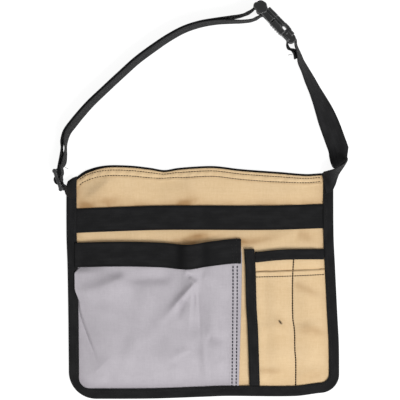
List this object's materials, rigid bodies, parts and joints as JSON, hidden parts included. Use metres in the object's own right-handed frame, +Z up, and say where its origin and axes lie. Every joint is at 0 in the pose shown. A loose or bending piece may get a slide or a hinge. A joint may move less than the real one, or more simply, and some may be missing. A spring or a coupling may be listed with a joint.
{
  "type": "waist tool bag",
  "caption": "Worn waist tool bag in tan and grey canvas, lying on its back: bound edges, a band for flat tools, open front pockets and a webbing waist strap with a side-release buckle.",
  "frame": {"origin": "on the floor, under the middle of the bag's flat back", "axes": "+X to the bag's right seen from its front, +Y towards its mouth and the waist strap, +Z up out of its front"},
  "size_m": [0.3683, 0.4972, 0.0347],
  "materials": {
    "tan_canvas": "washed tan cotton canvas, creased and slightly faded",
    "grey_canvas": "washed light grey cotton canvas, slightly violet",
    "black_tape": "black woven tape with fine ribs",
    "black_webbing": "black woven webbing, dull",
    "black_plastic": "moulded black plastic, scuffed to dark grey"
  },
  "bodies": {
    "root": {"back_panel": "tan_canvas", "back_top_binding": "black_tape", "front_panel": "tan_canvas", "tool_band": "black_tape", "grey_pocket": "grey_canvas", "grey_pocket_band": "black_tape", "tool_pocket": "tan_canvas", "tool_pocket_top_binding": "black_tape", "tool_pocket_side_binding": "black_tape", "edge_binding": "black_tape", "waist_strap": "black_webbing", "tri_glide": "black_plastic", "buckle_male": "black_plastic", "buckle_female": "black_plastic", "short_strap": "black_webbing"}
  },
  "joints": []
}
